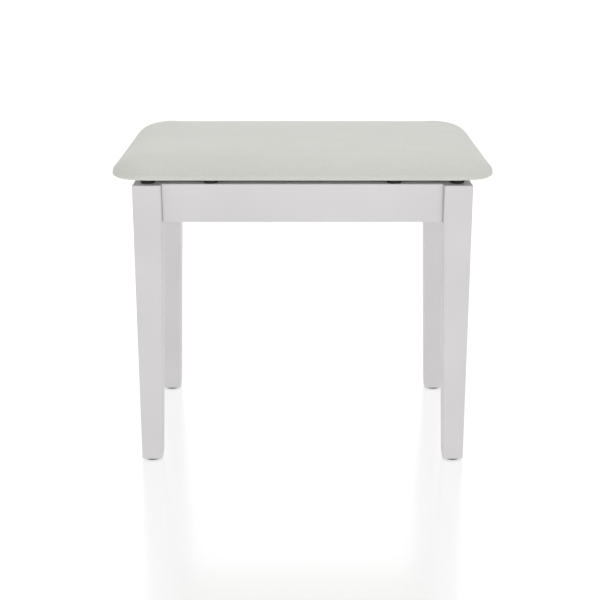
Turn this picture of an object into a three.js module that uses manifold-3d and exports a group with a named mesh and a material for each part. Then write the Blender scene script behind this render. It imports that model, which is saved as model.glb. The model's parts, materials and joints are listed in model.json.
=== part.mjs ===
// Piano bench: a padded seat lid, hinged at the back over a shallow music compartment,
// on four tapered legs with rails between them.
//
// Millimetres. +X runs along the long side to the sitter's right, the front faces -Y, +Z is up.
// The origin is on the floor, at the centre of the bench.

import * as THREE from "three";
import { mergeVertices } from "three/addons/utils/BufferGeometryUtils.js";
import Module from "manifold-3d";

const wasm = await Module();
wasm.setup();

// ---- driving dimensions -------------------------------------------------------------------

const GAP = 0.3; // play left between two pieces that touch

const FRAME = { width: 498, depth: 316, top: 438 };
const LEG = { top: 42, foot: 31, edge: 2, bottom: 2.3 };
const RAIL = { height: 58, thickness: 22, setback: 11, edge: 1.5 };
const FLOOR_PANEL = { thickness: 4, bottom: 386.3, tongue: 5 };

const GLIDE = { radius: 13, height: 2, nail: 1, nailTop: 12 };
const BUFFER = { radius: 10.5, height: 10.8, stem: 2.5, stemDepth: 8, railX: 135 };

const BLOCK = { near: 22, far: 58, bottom: 391, top: 431 };
const BOLT = { radius: 4, inLeg: 30, beyond: 12 };
const NUT = { across: 13, height: 8, flange: 9, flangeHeight: 2 };

const SEAT = { width: 560, depth: 376, corner: 52, bottom: 450.2, widest: 454.2, top: 484 };
const ROLL = { under: 3.5, over: 50 }; // how far the edge rolls in below and above its widest line
const COVER = { thickness: 1.2, fold: 34 };
const BOARD = { inset: 9, bottom: 451.7, thickness: 12 };
const LINING = { inset: 15, bottom: 449.4, thickness: 0.5 };

const HINGE = { y: 154, z: 443.7, x: 150, knuckle: 5.4, pin: 2.5, plate: 1.8, front: 127 };
const KNUCKLES = { half: 32, middle: 12 }; // half lengths of the hinge and of its middle knuckle
const HINGE_SCREW = { x: 20, y: 137 };
const SCREW = { head: 3.4, shank: 1.7, headHeight: 1.9, length: 13.5 };

const STAY = {
  railPivot: [52, 402], // [y, z] of the pivot on the right rail
  lidPivot: [50, 440], // [y, z] of the pivot under the lid, with the lid shut
  lower: 95,
  upper: 98,
  plate: 1.7,
  rivet: 2.4,
  end: 6,
  eye: 8.5,
  eyeHole: 5.2, // the open pivot: the elbow rivet has this much room in the upper arm's eye
};
const STAY_X = { rail: 213.9, lower: 211.9, upper: 209.9 }; // near face of each layer
const LID_BRACKET = { reach: 190, ear: 7, half: 12, screwX: 198, screwY: 6 };

const RUNNING = 0.1; // added to the radius of a hole that a pin turns in
const ROUND = 16; // sides of a turned piece
const SMALL_ROUND = 8; // sides of a small turned piece

// ---- materials ----------------------------------------------------------------------------

const finish = (color, roughness, metalness = 0) =>
  new THREE.MeshStandardMaterial({ color, roughness, metalness });

const lacquer = finish(0xe4e2e1, 0.4);
const leatherette = finish(0xdedfda, 0.55);
const foam = finish(0xe8dfb8, 0.95);
const plywood = finish(0xc9a878, 0.75);
const hardboard = finish(0xd9d7d4, 0.6);
const beech = finish(0xcfa878, 0.7);
const nonwoven = finish(0xcdcdca, 0.95);
const rubber = finish(0x101010, 0.8);
const glidePlastic = finish(0x5a5a5a, 0.6);
const zinc = finish(0xb9bcc0, 0.35, 1);
const nickel = finish(0xc8c6c0, 0.25, 1);

const bench = new THREE.Group();

function piece(name, geometry, material) {
  const mesh = new THREE.Mesh(geometry, material);
  mesh.name = name;
  bench.add(mesh);
}

// ---- solids -------------------------------------------------------------------------------

// A closed three.js geometry as a solid that can be joined and cut.
function toSolid(geometry) {
  const bare = geometry.index ? geometry.toNonIndexed() : geometry.clone();
  bare.deleteAttribute("normal");
  bare.deleteAttribute("uv");
  const merged = mergeVertices(bare, 1e-4);
  return new wasm.Manifold(
    new wasm.Mesh({
      numProp: 3,
      vertProperties: new Float32Array(merged.attributes.position.array),
      triVerts: new Uint32Array(merged.index.array),
    }),
  );
}

function toGeometry(solid) {
  const { vertProperties, triVerts } = solid.getMesh();
  const geometry = new THREE.BufferGeometry();
  geometry.setAttribute("position", new THREE.BufferAttribute(vertProperties, 3));
  geometry.setIndex(new THREE.BufferAttribute(triVerts, 1));
  return geometry;
}

// A geometry with some others taken away from it.
function cut(geometry, cutters) {
  let solid = toSolid(geometry);
  for (const cutter of cutters) solid = solid.subtract(toSolid(cutter));
  return toGeometry(solid);
}

// Several geometries joined in one.
function join(geometries) {
  return toGeometry(geometries.map(toSolid).reduce((all, next) => all.add(next)));
}

// ---- shapes -------------------------------------------------------------------------------

// A rectangle with round corners, from its half sizes.
function roundedRectangle(halfX, halfY, radius) {
  const [x, y] = [halfX - radius, halfY - radius];
  const shape = new THREE.Shape();
  shape.absarc(x, y, radius, 0, Math.PI / 2);
  shape.absarc(-x, y, radius, Math.PI / 2, Math.PI);
  shape.absarc(-x, -y, radius, Math.PI, 1.5 * Math.PI);
  shape.absarc(x, -y, radius, 1.5 * Math.PI, 2 * Math.PI);
  shape.closePath();
  return shape;
}

function circleHole(x, y, radius) {
  return new THREE.Path().absarc(x, y, radius, 0, 2 * Math.PI, true);
}

// A shape standing on height `bottom`, with straight sides.
function prism(shape, bottom, height, curveSegments = 4) {
  const options = { depth: height, bevelEnabled: false, curveSegments };
  return new THREE.ExtrudeGeometry(shape, options).translate(0, 0, bottom);
}

// A box from its lowest to its highest corner.
function boxBetween(low, high) {
  const [x, y, z] = high.map((value, axis) => value - low[axis]);
  const centre = high.map((value, axis) => (value + low[axis]) / 2);
  return new THREE.BoxGeometry(x, y, z).translate(...centre);
}

// A profile of [radius, height] points, from axis to axis and upwards, turned about +Z.
function turned(profile, sides = ROUND) {
  const points = profile.map(([radius, height]) => new THREE.Vector2(radius, height));
  return new THREE.LatheGeometry(points, sides).rotateX(Math.PI / 2);
}

function rod(radius, bottom, top, sides = ROUND) {
  return turned([[0, bottom], [radius, bottom], [radius, top], [0, top]], sides);
}

// Turns a geometry's own +Z to a direction, and moves its origin to a place.
function aim(geometry, direction, place) {
  const up = new THREE.Vector3(0, 0, 1);
  const forward = new THREE.Vector3(...direction).normalize();
  const turn = new THREE.Quaternion().setFromUnitVectors(up, forward);
  return geometry.applyQuaternion(turn).translate(...place);
}

// ---- frame --------------------------------------------------------------------------------

const halfWidth = FRAME.width / 2;
const halfDepth = FRAME.depth / 2;
const railBottom = FRAME.top - RAIL.height;
const railInnerX = halfWidth - RAIL.setback - RAIL.thickness;
const railInnerY = halfDepth - RAIL.setback - RAIL.thickness;
const floorTop = FLOOR_PANEL.bottom + FLOOR_PANEL.thickness;
const boltHeight = (BLOCK.bottom + BLOCK.top) / 2;
const hiddenX = halfWidth - LEG.top - railInnerX; // from a rail to the leg corner, negative inwards
const hiddenY = halfDepth - LEG.top - railInnerY;

const CORNERS = [
  ["front_left", -1, -1],
  ["front_right", 1, -1],
  ["back_left", -1, 1],
  ["back_right", 1, 1],
];

// A square leg: straight beside the rails, then tapered on its two inner faces.
// Its ends and long edges are eased. In its own frame its outer corner is at the origin.
function legBlank() {
  const half = LEG.top / 2;
  const ease = 1.2;
  const options = {
    depth: FRAME.top - LEG.bottom - 2 * ease,
    steps: 2,
    curveSegments: 1,
    bevelThickness: ease,
    bevelSize: ease,
    bevelOffset: -ease,
    bevelSegments: 2,
  };
  const blank = new THREE.ExtrudeGeometry(roundedRectangle(half, half, LEG.edge), options);
  blank.translate(half, half, LEG.bottom + ease);
  const position = blank.attributes.position;
  const waist = LEG.bottom + ease + options.depth / 2;
  for (let i = 0; i < position.count; i++) {
    const atWaist = Math.abs(position.getZ(i) - waist) < 1;
    const z = atWaist ? railBottom : position.getZ(i);
    const taper = Math.max(0, (railBottom - z) / (railBottom - LEG.bottom));
    const width = 1 - taper * (1 - LEG.foot / LEG.top);
    position.setXYZ(i, position.getX(i) * width, position.getY(i) * width, z);
  }
  return blank;
}

// Mirrors a geometry made for the corner at +X, +Y into another corner.
function toCorner(geometry, signX, signY) {
  const placed = geometry.index ? geometry.toNonIndexed() : geometry.clone();
  const position = placed.attributes.position;
  const flip = signX * signY < 0;
  const vertex = (i) => [position.getX(i) * signX, position.getY(i) * signY, position.getZ(i)];
  for (let i = 0; i < position.count; i += 3) {
    const triangle = [vertex(i), vertex(i + 1), vertex(i + 2)];
    if (flip) triangle.reverse();
    triangle.forEach((point, k) => position.setXYZ(i + k, ...point));
  }
  return placed;
}

const footCentre = (half) => half - LEG.foot / 2;
const legCentre = (half) => half - LEG.top / 2;

// The hanger bolt lies on the corner's diagonal. Its origin is the leg's inner corner,
// and its +Z points from there into the compartment.
const boltOrigin = [railInnerX + hiddenX, railInnerY + hiddenY, boltHeight];
const intoFrame = [-1, -1, 0];
const blockFace = (BLOCK.far + hiddenX + hiddenY) / Math.SQRT2; // from the leg's corner to the nut
const boltEnd = blockFace + BOLT.beyond;

function hangerBolt() {
  const chamfer = 0.8;
  return turned(
    [
      [0, -BOLT.inLeg],
      [BOLT.radius - chamfer, -BOLT.inLeg],
      [BOLT.radius, chamfer - BOLT.inLeg],
      [BOLT.radius, boltEnd - chamfer],
      [BOLT.radius - chamfer, boltEnd],
      [0, boltEnd],
    ],
    SMALL_ROUND,
  );
}

function flangeNut() {
  const hexagon = new THREE.Shape();
  const corner = NUT.across / Math.sqrt(3);
  for (let i = 0; i < 6; i++) {
    const angle = (i * Math.PI) / 3;
    hexagon[i ? "lineTo" : "moveTo"](corner * Math.cos(angle), corner * Math.sin(angle));
  }
  hexagon.closePath();
  const base = blockFace + GAP;
  const blank = join([
    rod(NUT.flange, base, base + NUT.flangeHeight),
    prism(hexagon, base + 1, NUT.height - 1),
  ]);
  return cut(blank, [rod(BOLT.radius + GAP, 0, boltEnd, SMALL_ROUND)]);
}

function cornerBlock() {
  const { near, far } = BLOCK;
  const block = new THREE.Shape();
  block.moveTo(railInnerX - near, railInnerY - GAP);
  block.lineTo(railInnerX - far, railInnerY - GAP);
  block.lineTo(railInnerX - GAP, railInnerY - far);
  block.lineTo(railInnerX - GAP, railInnerY - near);
  block.closePath();
  const bore = aim(rod(BOLT.radius + GAP, 0, boltEnd, SMALL_ROUND), intoFrame, boltOrigin);
  return cut(prism(block, BLOCK.bottom, BLOCK.top - BLOCK.bottom), [bore]);
}

function glide() {
  return turned([
    [0, 0],
    [GLIDE.radius - 1, 0],
    [GLIDE.radius, 0.6],
    [GLIDE.radius, GLIDE.height - 0.4],
    [GLIDE.radius - 0.6, GLIDE.height],
    [GLIDE.nail, GLIDE.height],
    [GLIDE.nail, GLIDE.nailTop - 1],
    [0, GLIDE.nailTop],
  ]);
}

// A rubber buffer with a domed head, pushed into a hole by its stem. z = 0 is what it sits on.
function buffer() {
  const { radius, height, stem, stemDepth } = BUFFER;
  return turned([
    [0, -stemDepth],
    [stem, -stemDepth],
    [stem, GAP],
    [radius, GAP],
    [radius, 0.25 * height],
    [0.95 * radius, 0.6 * height],
    [0.86 * radius, 0.85 * height],
    [0.7 * radius, height],
    [0, height],
  ]);
}
const bufferHole = () => rod(BUFFER.stem + GAP, -BUFFER.stemDepth - GAP, 1, SMALL_ROUND);

const legBuffers = [-1, 1].map((side) => [side * legCentre(halfWidth), -legCentre(halfDepth)]);
const railMiddle = halfDepth - RAIL.setback - RAIL.thickness / 2;
const railBuffers = [-1, 1].map((side) => [side * BUFFER.railX, -railMiddle]);

// ---- lid hinges ---------------------------------------------------------------------------

const leafBottom = HINGE.z - HINGE.knuckle; // where the rail leaf lies on the rail
const leafTop = HINGE.z + HINGE.knuckle; // where the lid leaf lies under the lid

// Turns a piece made about +Z to lie along +X, and moves it.
const alongX = (geometry, x, y, z) => geometry.rotateY(Math.PI / 2).translate(x, y, z);

// One leaf of a hinge, centred on x = 0: a plate that runs tangent into its knuckles.
// side is -1 for the leaf on the rail, +1 for the leaf under the lid.
function hingeLeaf(side, knuckleSpans, pinPlay) {
  const outer = HINGE.z + side * HINGE.knuckle;
  const inner = outer - side * HINGE.plate;
  const [low, high] = [Math.min(outer, inner), Math.max(outer, inner)];
  const clear = HINGE.y - HINGE.knuckle - 2 * GAP; // the plate stops here beside a foreign knuckle
  const { half } = KNUCKLES;
  const parts = [boxBetween([-half, HINGE.front, low], [half, clear, high])];
  const bores = [];
  for (const [from, to] of knuckleSpans) {
    parts.push(boxBetween([from, clear - 1, low], [to, HINGE.y, high]));
    parts.push(alongX(rod(HINGE.knuckle, from, to), 0, HINGE.y, HINGE.z));
    bores.push(alongX(rod(HINGE.pin + pinPlay, from - 1, to + 1), 0, HINGE.y, HINGE.z));
  }
  return cut(join(parts), bores);
}

const middleSpan = [[-KNUCKLES.middle, KNUCKLES.middle]];
const outerSpans = [
  [-KNUCKLES.half, -KNUCKLES.middle - GAP],
  [KNUCKLES.middle + GAP, KNUCKLES.half],
];

function hingePin() {
  const reach = KNUCKLES.half + GAP;
  const head = HINGE.pin + 1;
  const pin = turned([
    [0, -reach - 1.4],
    [head - 0.6, -reach - 1.4],
    [head, -reach - 0.9],
    [head, -reach],
    [HINGE.pin, -reach],
    [HINGE.pin, reach],
    [HINGE.pin - 0.6, reach + 0.8],
    [0, reach + 0.8],
  ]);
  return alongX(pin, 0, HINGE.y, HINGE.z);
}

// ---- lid stay -----------------------------------------------------------------------------

// A folding stay on the right: two flat arms in planes of constant X, and two brackets.

// Where the elbow lies, in front of the line from the rail pivot to the lid pivot.
function elbowPlace() {
  const [[y1, z1], [y2, z2]] = [STAY.railPivot, STAY.lidPivot];
  const [dy, dz] = [y2 - y1, z2 - z1];
  const apart = Math.hypot(dy, dz);
  const reach = (STAY.lower ** 2 - STAY.upper ** 2 + apart ** 2) / (2 * apart);
  const off = Math.sqrt(STAY.lower ** 2 - reach ** 2);
  return [y1 + (dy * reach - dz * off) / apart, z1 + (dz * reach + dy * off) / apart];
}
const elbow = elbowPlace();

// A flat arm with round ends about (0, 0) and (length, 0).
function armShape(length, startEnd, farEnd, startHole, farHole) {
  const shape = new THREE.Shape();
  shape.absarc(0, 0, startEnd, Math.PI / 2, 1.5 * Math.PI);
  shape.absarc(length, 0, farEnd, -Math.PI / 2, Math.PI / 2);
  shape.closePath();
  shape.holes.push(circleHole(0, 0, startHole), circleHole(length, 0, farHole));
  return shape;
}

// Lays a flat shape in the plane at x, its own +X pointing from one [y, z] place to another.
function inPlane(shape, x, from, towards, thickness = STAY.plate) {
  const angle = Math.atan2(towards[1] - from[1], towards[0] - from[0]);
  const forward = new THREE.Vector3(0, Math.cos(angle), Math.sin(angle));
  const aside = new THREE.Vector3(0, -Math.sin(angle), Math.cos(angle));
  const basis = new THREE.Matrix4().makeBasis(forward, aside, new THREE.Vector3(1, 0, 0));
  return prism(shape, 0, thickness, 6).applyMatrix4(basis.setPosition(x, ...from));
}

const pivotHole = STAY.rivet + RUNNING;
const lowerArm = armShape(STAY.lower, STAY.end, STAY.end, pivotHole, STAY.rivet + GAP);
const upperArm = armShape(STAY.upper, STAY.end, STAY.eye, pivotHole, STAY.eyeHole);

// A rivet along +X between two heads; `low` and `high` are the faces that its heads sit on.
function rivet([y, z], low, high, lowHead, highHead) {
  const headHeight = 1.2;
  const profile = [
    [0, low - GAP - headHeight],
    [lowHead - 1, low - GAP - headHeight],
    [lowHead, low - GAP - headHeight / 2],
    [lowHead, low - GAP],
    [STAY.rivet, low - GAP],
    [STAY.rivet, high + GAP],
    [highHead, high + GAP],
    [highHead, high + GAP + headHeight / 2],
    [highHead - 1, high + GAP + headHeight],
    [0, high + GAP + headHeight],
  ];
  return alongX(turned(profile, ROUND), 0, y, z);
}

const RAIL_PLATE = { half: 14, end: 8, screw: 9 };

function railBracket() {
  const [y, z] = STAY.railPivot;
  const plate = roundedRectangle(RAIL_PLATE.half, RAIL_PLATE.end, 4);
  plate.holes.push(circleHole(0, 0, STAY.rivet + GAP));
  const blank = inPlane(plate, STAY_X.rail, [y, z], [y + 1, z], railInnerX - GAP - STAY_X.rail);
  return cut(blank, staySurfaceScrews.map((one) => placed(one, GAP)));
}

function lidBracket() {
  const [y, z] = STAY.lidPivot;
  const { reach, ear, half } = LID_BRACKET;
  const back = STAY_X.lower + STAY.plate;
  const top = leafTop;
  const bottom = leafTop - HINGE.plate;
  const earPlate = boxBetween([STAY_X.lower, y - ear, z], [back, y + ear, top]);
  const earEnd = alongX(rod(ear, STAY_X.lower, back), 0, y, z);
  const flange = boxBetween([reach, y - half, bottom], [back, y + half, top]);
  const hole = alongX(rod(STAY.rivet + GAP, STAY_X.lower - 1, back + 1), 0, y, z);
  const holes = lidBracketScrews.map((one) => placed(one, GAP));
  return cut(join([earPlate, earEnd, flange]), [hole, ...holes]);
}

// ---- screws -------------------------------------------------------------------------------

// A countersunk screw: its flat head at z = 0, its point below. With play it is the cutter
// that makes the screw's hole.
function screw(play = 0) {
  const { head, shank, headHeight, length } = SCREW;
  const top = play ? 1 : 0; // the cutter reaches out past the surface
  const profile = [
    [0, -length - play],
    [shank + play, 2 - length - play],
    [shank + play, -headHeight - play],
    [head + play, -0.3 - play],
    [head + play, top],
    [0, top],
  ];
  return turned(profile, SMALL_ROUND);
}

const placed = ({ at, out }, play) => aim(screw(play), out, at);

const FLUSH = 0.1; // a screw's head lies this far below the plate's face
const hingeScrews = [];
for (const [hand, side] of [["left", -1], ["right", 1]]) {
  for (const [place, end] of [["outer", side], ["inner", -side]]) {
    const [x, y] = [side * HINGE.x + end * HINGE_SCREW.x, HINGE_SCREW.y];
    const railFace = leafBottom + HINGE.plate - FLUSH;
    const lidFace = leafTop - HINGE.plate + FLUSH;
    hingeScrews.push(
      { name: `hinge_screw_rail_${hand}_${place}`, at: [x, y, railFace], out: [0, 0, 1], hand },
      { name: `hinge_screw_lid_${hand}_${place}`, at: [x, y, lidFace], out: [0, 0, -1], hand },
    );
  }
}
const facing = (up) => hingeScrews.filter((one) => one.out[2] === up);
const [railHingeScrews, lidHingeScrews] = [facing(1), facing(-1)];

const ENDS = [["front", -1], ["back", 1]];
const staySurfaceScrews = ENDS.map(([place, end]) => ({
  name: `stay_screw_rail_${place}`,
  at: [STAY_X.rail + FLUSH, STAY.railPivot[0] + end * RAIL_PLATE.screw, STAY.railPivot[1]],
  out: [-1, 0, 0],
}));
const lidBracketScrews = ENDS.map(([place, end]) => ({
  name: `stay_screw_lid_${place}`,
  at: [LID_BRACKET.screwX, STAY.lidPivot[0] + end * LID_BRACKET.screwY, leafTop - HINGE.plate + FLUSH],
  out: [0, 0, -1],
}));
const lidScrews = [...lidHingeScrews, ...lidBracketScrews];

// ---- rails and floor ----------------------------------------------------------------------

// A rail from -half to +half along X, its outer face towards -Y at y = outer, with a groove
// for the floor panel along its inner face.
function railAlongX(half, outer) {
  const section = roundedRectangle(RAIL.thickness / 2, RAIL.height / 2, RAIL.edge);
  const blank = prism(section, -half, 2 * half, 1).rotateX(Math.PI / 2).rotateZ(Math.PI / 2);
  blank.translate(0, outer + RAIL.thickness / 2, railBottom + RAIL.height / 2);
  const inner = outer + RAIL.thickness;
  const groove = boxBetween(
    [-half - 1, inner - FLOOR_PANEL.tongue - GAP, FLOOR_PANEL.bottom - GAP],
    [half + 1, inner + 1, floorTop + GAP],
  );
  return cut(blank, [groove]);
}

function floorPanel() {
  const [x, y] = [railInnerX + FLOOR_PANEL.tongue, railInnerY + FLOOR_PANEL.tongue];
  const [notchX, notchY] = [halfWidth - LEG.top - GAP, halfDepth - LEG.top - GAP];
  const panel = new THREE.Shape();
  const outline = [
    [notchX, -y], [notchX, -notchY], [x, -notchY],
    [x, notchY], [notchX, notchY], [notchX, y],
    [-notchX, y], [-notchX, notchY], [-x, notchY],
    [-x, -notchY], [-notchX, -notchY], [-notchX, -y],
  ];
  panel.setFromPoints(outline.map((point) => new THREE.Vector2(...point)));
  return prism(panel, FLOOR_PANEL.bottom, FLOOR_PANEL.thickness);
}

// ---- seat ---------------------------------------------------------------------------------

// The padded shape, `inset` inside the cover's outside. Its edge is a quarter ellipse below
// the widest line and another above it, which ends in the level middle of the seat.
function padShape(inset, bottom) {
  const [lowSteps, highSteps] = [3, 5];
  const levels = [];
  for (let i = 0; i < lowSteps; i++) {
    const angle = (Math.PI / 2) * (1 - i / lowSteps);
    const drop = (SEAT.widest - bottom) * Math.sin(angle);
    levels.push([inset + ROLL.under * (1 - Math.cos(angle)), SEAT.widest - drop]);
  }
  for (let i = 0; i <= highSteps; i++) {
    const angle = (Math.PI / 2) * (i / highSteps);
    const rise = (SEAT.top - inset - SEAT.widest) * Math.sin(angle);
    levels.push([inset + ROLL.over * (1 - Math.cos(angle)), SEAT.widest + rise]);
  }
  const outline = roundedRectangle(SEAT.width / 2, SEAT.depth / 2, SEAT.corner);
  const steps = levels.length - 1;
  const options = { depth: steps, steps, bevelEnabled: false, curveSegments: 3 };
  const pad = new THREE.ExtrudeGeometry(outline, options);
  const position = pad.attributes.position;
  const coreX = SEAT.width / 2 - SEAT.corner;
  const coreY = SEAT.depth / 2 - SEAT.corner;
  for (let i = 0; i < position.count; i++) {
    const [x, y] = [position.getX(i), position.getY(i)];
    const [inward, z] = levels[Math.round(position.getZ(i))];
    const near = [THREE.MathUtils.clamp(x, -coreX, coreX), THREE.MathUtils.clamp(y, -coreY, coreY)];
    const keep = 1 - inward / SEAT.corner;
    position.setXYZ(i, near[0] + (x - near[0]) * keep, near[1] + (y - near[1]) * keep, z);
  }
  return pad;
}

function seatCover() {
  const inside = padShape(COVER.thickness, SEAT.bottom + COVER.thickness);
  const { width, depth, corner, bottom } = SEAT;
  const mouth = roundedRectangle(width / 2 - COVER.fold, depth / 2 - COVER.fold, corner - COVER.fold);
  return cut(padShape(0, bottom), [inside, prism(mouth, bottom - 1, 3)]);
}

function seatFoam() {
  const boardTop = BOARD.bottom + BOARD.thickness + GAP;
  const [x, y] = [SEAT.width, SEAT.depth];
  const below = boxBetween([-x, -y, 0], [x, y, boardTop]);
  return cut(padShape(COVER.thickness + GAP, SEAT.bottom + COVER.thickness), [below]);
}

function sheetInside(inset, bottom, thickness) {
  const { width, depth, corner } = SEAT;
  const outline = roundedRectangle(width / 2 - inset, depth / 2 - inset, corner - inset);
  return prism(outline, bottom, thickness, 3);
}

// ---- the bench ----------------------------------------------------------------------------

for (const [place, signX, signY] of CORNERS) {
  const blank = legBlank().rotateZ(Math.PI).translate(halfWidth, halfDepth, 0);
  const [footX, footY] = [footCentre(halfWidth), footCentre(halfDepth)];
  const holes = [
    aim(rod(BOLT.radius + GAP, -BOLT.inLeg - GAP, 10, SMALL_ROUND), intoFrame, boltOrigin),
    rod(GLIDE.nail + GAP, 0, GLIDE.nailTop + GAP, SMALL_ROUND).translate(footX, footY, 0),
  ];
  if (signY < 0) {
    holes.push(bufferHole().translate(legCentre(halfWidth), legCentre(halfDepth), FRAME.top));
  }
  const atCorner = (geometry) => toCorner(geometry, signX, signY);
  const onDiagonal = (geometry) => atCorner(aim(geometry, intoFrame, boltOrigin));
  piece(`leg_${place}`, atCorner(cut(blank, holes)), lacquer);
  piece(`corner_block_${place}`, atCorner(cornerBlock()), beech);
  piece(`hanger_bolt_${place}`, onDiagonal(hangerBolt()), zinc);
  piece(`flange_nut_${place}`, onDiagonal(flangeNut()), zinc);
  piece(`glide_${place}`, atCorner(glide().translate(footX, footY, 0)), glidePlastic);
}

const longHalf = halfWidth - LEG.top - GAP;
const shortHalf = halfDepth - LEG.top - GAP;
const frontHoles = railBuffers.map(([x, y]) => bufferHole().translate(x, y, FRAME.top));
const pilot = (one) => placed(one, GAP);
const stayHoles = [
  ...staySurfaceScrews.map(pilot),
  alongX(rod(STAY.end, railInnerX - 1, railInnerX + 3), 0, ...STAY.railPivot),
];
const railX = (outer) => railAlongX(longHalf, outer);
const railY = (turn) => railAlongX(shortHalf, RAIL.setback - halfWidth).rotateZ(turn);

piece("rail_front", cut(railX(RAIL.setback - halfDepth), frontHoles), lacquer);
const backRail = railX(RAIL.setback - halfDepth).rotateZ(Math.PI);
piece("rail_back", cut(backRail, railHingeScrews.map(pilot)), lacquer);
piece("rail_left", railY(-Math.PI / 2), lacquer);
piece("rail_right", cut(railY(Math.PI / 2), stayHoles), lacquer);
piece("compartment_floor", floorPanel(), hardboard);

[...legBuffers, ...railBuffers].forEach(([x, y], i) => {
  const name = ["leg_left", "leg_right", "rail_left", "rail_right"][i];
  piece(`buffer_${name}`, buffer().translate(x, y, FRAME.top), rubber);
});

const boardHoles = lidScrews.map(pilot);
piece("seat_cover", seatCover(), leatherette);
piece("seat_foam", seatFoam(), foam);
piece("seat_board", cut(sheetInside(BOARD.inset, BOARD.bottom, BOARD.thickness), boardHoles), plywood);
piece("lid_lining", cut(sheetInside(LINING.inset, LINING.bottom, LINING.thickness), boardHoles), nonwoven);

for (const [hand, side] of [["left", -1], ["right", 1]]) {
  const x = side * HINGE.x;
  const ownScrews = (screws) => screws.filter((one) => one.hand === hand).map(pilot);
  const railLeaf = hingeLeaf(-1, outerSpans, RUNNING).translate(x, 0, 0);
  const lidLeaf = hingeLeaf(1, middleSpan, RUNNING).translate(x, 0, 0);
  piece(`hinge_leaf_rail_${hand}`, cut(railLeaf, ownScrews(railHingeScrews)), nickel);
  piece(`hinge_leaf_lid_${hand}`, cut(lidLeaf, ownScrews(lidHingeScrews)), nickel);
  piece(`hinge_pin_${hand}`, hingePin().translate(x, 0, 0), nickel);
}

piece("stay_bracket_rail", railBracket(), nickel);
piece("stay_bracket_lid", lidBracket(), nickel);
piece("stay_arm_lower", inPlane(lowerArm, STAY_X.lower, STAY.railPivot, elbow), nickel);
piece("stay_arm_upper", inPlane(upperArm, STAY_X.upper, STAY.lidPivot, elbow), nickel);
const behindPlate = railInnerX - GAP;
const lowerBack = STAY_X.lower + STAY.plate;
piece("stay_rivet_rail", rivet(STAY.railPivot, STAY_X.lower, behindPlate, 4.5, 4), nickel);
piece("stay_rivet_elbow", rivet(elbow, STAY_X.upper, lowerBack, STAY.eye, 4.5), nickel);
piece("stay_rivet_lid", rivet(STAY.lidPivot, STAY_X.upper, lowerBack, 4.5, 4), nickel);

for (const one of [...hingeScrews, ...staySurfaceScrews, ...lidBracketScrews]) {
  piece(one.name, placed(one, 0), zinc);
}

export default bench;
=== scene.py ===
"""The looks of a piano bench: a padded seat lid over a shallow music compartment, on a lacquered frame.

Metres, in the frame's own axes: +X along the long side, the front faces -Y, +Z up, the floor at z = 0.
"""

import json
import math

import bmesh
import bpy
import numpy as np
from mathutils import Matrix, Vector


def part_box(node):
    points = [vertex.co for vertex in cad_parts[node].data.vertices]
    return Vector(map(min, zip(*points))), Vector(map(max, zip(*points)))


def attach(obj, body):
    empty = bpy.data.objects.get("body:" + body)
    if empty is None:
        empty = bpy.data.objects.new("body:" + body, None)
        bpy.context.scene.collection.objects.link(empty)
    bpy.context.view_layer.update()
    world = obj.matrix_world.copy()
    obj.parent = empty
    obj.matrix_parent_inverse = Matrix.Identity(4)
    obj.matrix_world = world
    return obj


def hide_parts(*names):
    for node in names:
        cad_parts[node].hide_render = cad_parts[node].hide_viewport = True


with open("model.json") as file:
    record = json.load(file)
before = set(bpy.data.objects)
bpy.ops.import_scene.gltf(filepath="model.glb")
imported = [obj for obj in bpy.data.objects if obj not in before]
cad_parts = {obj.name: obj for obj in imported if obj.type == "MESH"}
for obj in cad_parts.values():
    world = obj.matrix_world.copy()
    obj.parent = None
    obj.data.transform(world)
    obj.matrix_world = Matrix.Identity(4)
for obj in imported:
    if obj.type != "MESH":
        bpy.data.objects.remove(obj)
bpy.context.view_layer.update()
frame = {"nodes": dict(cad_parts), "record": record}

MM = 0.001

# ---- driving sizes, in metres ----------------------------------------------------------------

LEG_FOOT = 31 * MM  # a leg's width at the floor
LEG_EASE = 2.2 * MM  # radius of a leg's long edges
END_EASE = 1.6 * MM  # radius round the ends of a leg
RAIL_EASE = 1.6 * MM  # radius of a rail's long edges
SEAT_CORNER = 52 * MM  # plan radius of the seat's corners
SEAT_WIDEST = 454.2 * MM  # height of the seat's widest line
ROLL_UNDER = 3.5 * MM  # how far the edge rolls in below its widest line
ROLL_OVER = 50 * MM  # and above it
METAL_EASE, BOARD_EASE = 0.2 * MM, 0.6 * MM  # bevels on pressed metal and on sawn wood
COVER = 1.2 * MM  # thickness of the leatherette
FOLD = 34 * MM  # width of the leatherette folded under the board
CROWN = 1.5 * MM  # how far the middle stands above the edge of the level part
RIM_RISE = 1.3 * MM  # how far the underside rises from the lining's edge to the rim
LINING_INSET = 15 * MM  # from the seat's outline to the lining's edge


# ---- meshes ----------------------------------------------------------------------------------


def quads(rows, columns, wrap):
    """Quads of a grid of rows x columns points; with wrap the last column joins the first."""
    row, column = np.meshgrid(np.arange(rows - 1), np.arange(columns if wrap else columns - 1), indexing="ij")
    right = (column + 1) % columns
    corners = [row * columns + column, row * columns + right, (row + 1) * columns + right]
    corners.append((row + 1) * columns + column)
    return np.stack(corners, -1).reshape(-1, 4)


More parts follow.
